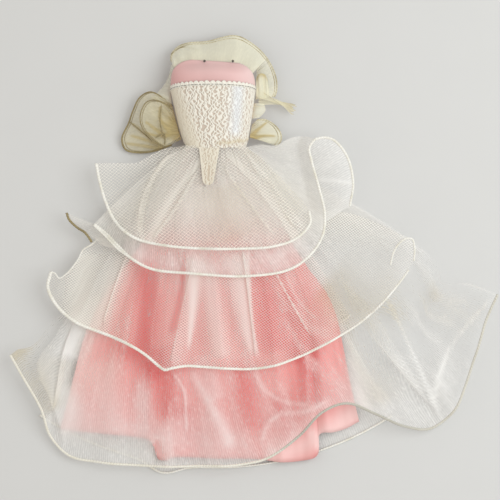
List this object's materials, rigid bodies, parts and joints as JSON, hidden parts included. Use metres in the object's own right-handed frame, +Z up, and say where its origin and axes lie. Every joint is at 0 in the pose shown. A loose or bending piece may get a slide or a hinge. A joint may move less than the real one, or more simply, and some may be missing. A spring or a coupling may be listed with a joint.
{
  "type": "doll ball gown",
  "caption": "Empty ball gown for a fashion doll, laid on its back: satin bodice with lace, snapped back, wired organza ruffle and lifting net and organza tiers over a satin underskirt.",
  "frame": {"origin": "middle of the waist, on the table that the gown's back rests on", "axes": "+X to the right of the gown's front as it lies, +Y from the waist to the neckline, +Z up from the table"},
  "size_m": [0.2781, 0.2481, 0.0298],
  "materials": {
    "pink_satin": "smooth satin with a soft sheen",
    "white_lace": "embossed pearly lace",
    "white_net": "open diamond net",
    "organza": "sheer organza with a fine weave",
    "yellowed_organza": "sheer organza, yellowed with age",
    "hem_cord": "overcast cord",
    "aged_wire": "thread-covered wire, browned with age",
    "dark_thread": "thread knot",
    "snap_metal": "pressed metal"
  },
  "bodies": {
    "bodice": {"bodice_front": "pink_satin", "lace_overlay": "white_lace", "scalloped_edging": "white_lace", "neckline_tack_left": "dark_thread", "neckline_tack_right": "dark_thread", "underskirt_front": "pink_satin", "underskirt_back": "pink_satin", "organza_overskirt_back": "organza", "organza_overskirt_back_cord": "hem_cord", "middle_net_tier_back": "white_net", "middle_net_tier_back_cord": "hem_cord", "second_organza_tier_back": "organza", "second_organza_tier_back_cord": "hem_cord", "upper_net_tier_back": "white_net", "upper_net_tier_back_cord": "hem_cord"},
    "back_left": {"bodice_back_left": "pink_satin", "snap_socket_lower": "snap_metal", "snap_socket_upper": "snap_metal"},
    "back_right": {"bodice_back_right": "pink_satin", "snap_stud_lower": "snap_metal", "snap_stud_upper": "snap_metal"},
    "overskirt": {"organza_overskirt_front": "organza", "organza_overskirt_front_cord": "hem_cord"},
    "middle_tier": {"middle_net_tier_front": "white_net", "middle_net_tier_front_cord": "hem_cord"},
    "second_tier": {"second_organza_tier_front": "organza", "second_organza_tier_front_cord": "hem_cord", "second_organza_loop": "organza", "second_organza_loop_cord": "hem_cord"},
    "upper_tier": {"upper_net_tier_front": "white_net", "upper_net_tier_front_cord": "hem_cord"},
    "lace_point": {"lace_point": "white_lace"},
    "ruffle_top": {"ruffle_top": "yellowed_organza", "ruffle_top_wire": "aged_wire"},
    "ruffle_left": {"ruffle_left_outer": "yellowed_organza", "ruffle_left_outer_wire": "aged_wire", "ruffle_left_inner": "yellowed_organza", "ruffle_left_inner_wire": "aged_wire"},
    "ruffle_right": {"ruffle_right": "yellowed_organza", "ruffle_right_wire": "aged_wire", "ruffle_right_fan": "yellowed_organza", "ruffle_right_fan_wire": "aged_wire", "ruffle_tail": "yellowed_organza"}
  },
  "joints": [
    {"name": "back_left_opening", "type": "hinge", "parent": "bodice", "child": "back_left", "pos_m": [-0.01847, 0.003, 0.00859], "axis": [-0.279, 0.9598, 0.03], "range_deg": [0, 60]},
    {"name": "back_right_opening", "type": "hinge", "parent": "bodice", "child": "back_right", "pos_m": [0.01815, 0.003, 0.00859], "axis": [-0.1813, -0.983, -0.0307], "range_deg": [0, 60]},
    {"name": "overskirt_lift", "type": "hinge", "parent": "bodice", "child": "overskirt", "pos_m": [0, -0.00035, 0.0208], "axis": [-1, 0, 0], "range_deg": [0, 15]},
    {"name": "middle_tier_lift", "type": "hinge", "parent": "overskirt", "child": "middle_tier", "pos_m": [0, -0.00035, 0.0208], "axis": [-1, 0, 0], "range_deg": [0, 15]},
    {"name": "second_tier_lift", "type": "hinge", "parent": "middle_tier", "child": "second_tier", "pos_m": [0, -0.00035, 0.0208], "axis": [-1, 0, 0], "range_deg": [0, 15]},
    {"name": "upper_tier_lift", "type": "hinge", "parent": "second_tier", "child": "upper_tier", "pos_m": [0, -0.00035, 0.0208], "axis": [-1, 0, 0], "range_deg": [0, 40]},
    {"name": "lace_point_lift", "type": "hinge", "parent": "upper_tier", "child": "lace_point", "pos_m": [-0.0044, -0.00035, 0.0208], "axis": [-1, 0, 0], "range_deg": [0, 35]},
    {"name": "ruffle_top_turn", "type": "hinge", "parent": "bodice", "child": "ruffle_top", "pos_m": [0, 0.04985, 0.0183], "axis": [1, 0, 0], "range_deg": [0, 80]},
    {"name": "ruffle_left_turn", "type": "hinge", "parent": "bodice", "child": "ruffle_left", "pos_m": [-0.01907, 0.003, 0.0106], "axis": [-0.279, 0.9598, 0.03], "range_deg": [0, 35]},
    {"name": "ruffle_right_turn", "type": "hinge", "parent": "bodice", "child": "ruffle_right", "pos_m": [0.01875, 0.003, 0.0106], "axis": [-0.1813, -0.983, -0.0307], "range_deg": [0, 35]}
  ],
  "couplings": [
    {"joint": "back_right_opening", "follows": "back_left_opening", "ratio": 0.7}
  ]
}
